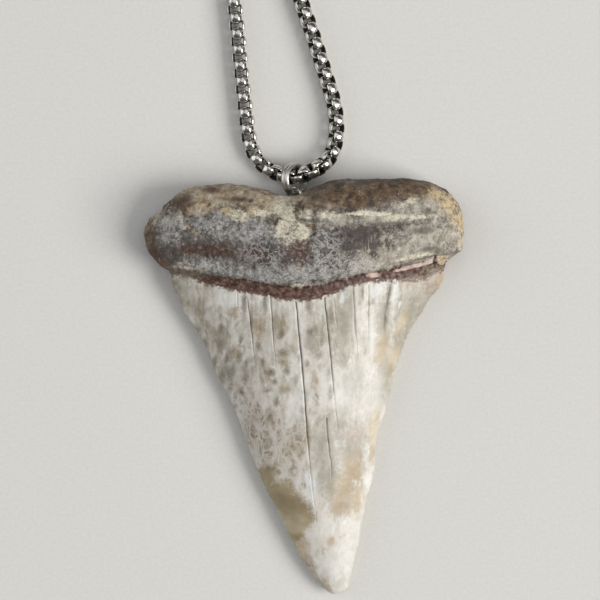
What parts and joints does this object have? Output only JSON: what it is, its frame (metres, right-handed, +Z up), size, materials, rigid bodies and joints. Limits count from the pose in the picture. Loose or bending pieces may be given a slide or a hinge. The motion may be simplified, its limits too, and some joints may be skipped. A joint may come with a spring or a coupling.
{
  "type": "shark tooth necklace",
  "caption": "Fossil shark tooth pendant hung by a wire eye and split ring on a round box chain that closes at a clasp, lying flat.",
  "frame": {"origin": "on the surface that it lies on, under the middle of the whole necklace", "axes": "+Z up out of the surface, +Y from the tip of the tooth towards the clasp, +X to the right of the tooth seen from its tongue side"},
  "size_m": [0.1342, 0.3234, 0.015],
  "materials": {
    "tooth": "satin fossil enamel with a rough stained root",
    "steel": "polished stainless steel"
  },
  "bodies": {
    "root": {"shark_tooth": "tooth", "screw_eye": "steel", "split_ring": "steel", "chain": "steel", "clasp": "steel"}
  },
  "joints": []
}
